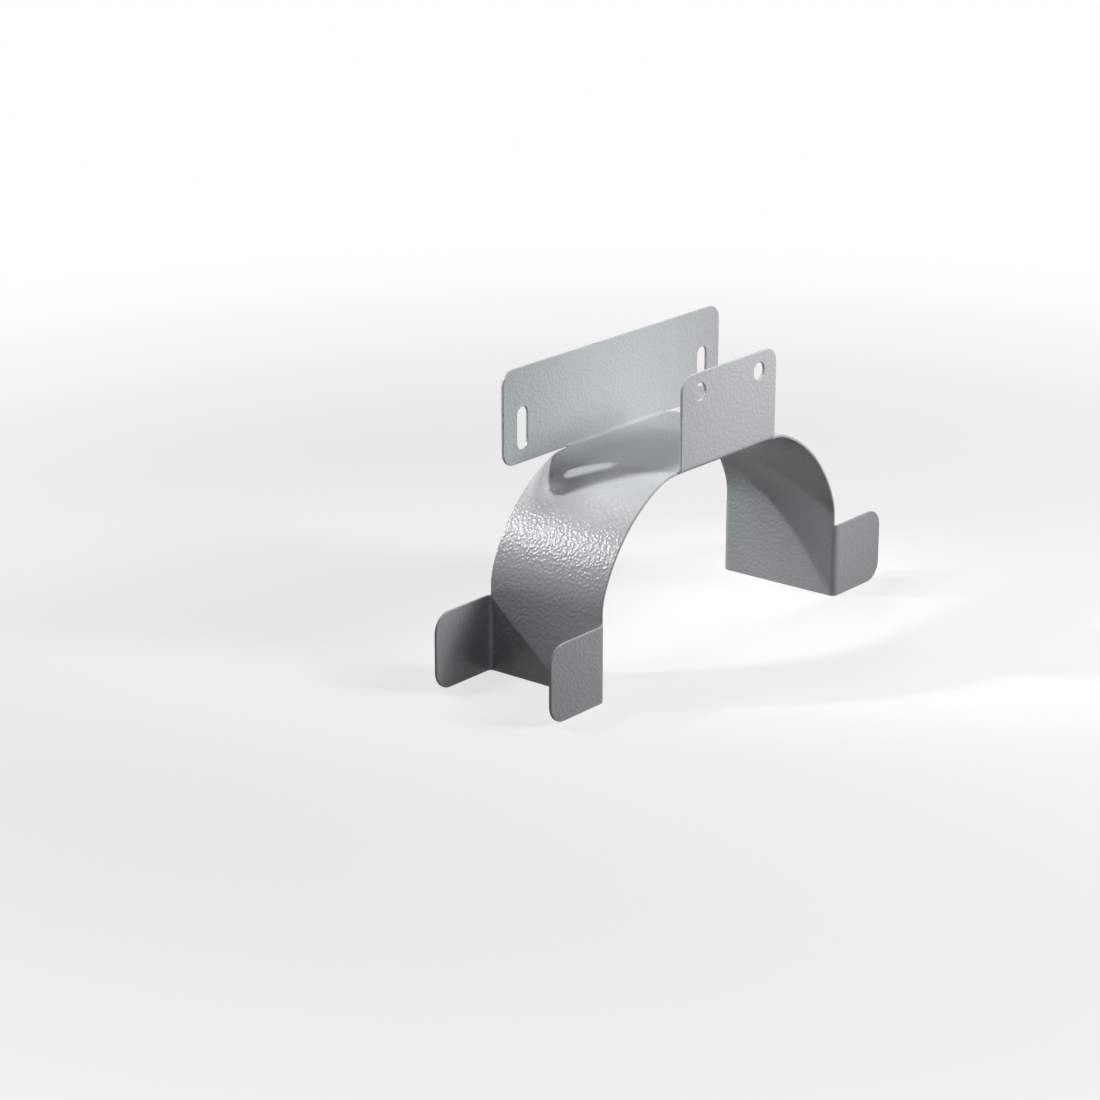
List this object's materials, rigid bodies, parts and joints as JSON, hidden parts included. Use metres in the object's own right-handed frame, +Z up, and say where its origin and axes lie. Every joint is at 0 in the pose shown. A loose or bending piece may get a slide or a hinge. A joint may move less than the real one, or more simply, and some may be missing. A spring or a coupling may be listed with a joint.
{
  "type": "cable slack holder",
  "caption": "Folded sheet-steel saddle for hanging spare cable: slotted back plate, front flange, rolled wings and upright lips at the feet.",
  "frame": {"origin": "on the rear face of the fixing plate, midway between its two slots", "axes": "+X across the holder, +Y out of the back of the fixing plate towards what it is fixed to, +Z up; the front flange faces -Y"},
  "size_m": [0.284, 0.074, 0.1525],
  "materials": {
    "powder_coat": "light grey powder coat, finely textured, semi-gloss"
  },
  "bodies": {
    "root": {"holder": "powder_coat"}
  },
  "joints": []
}
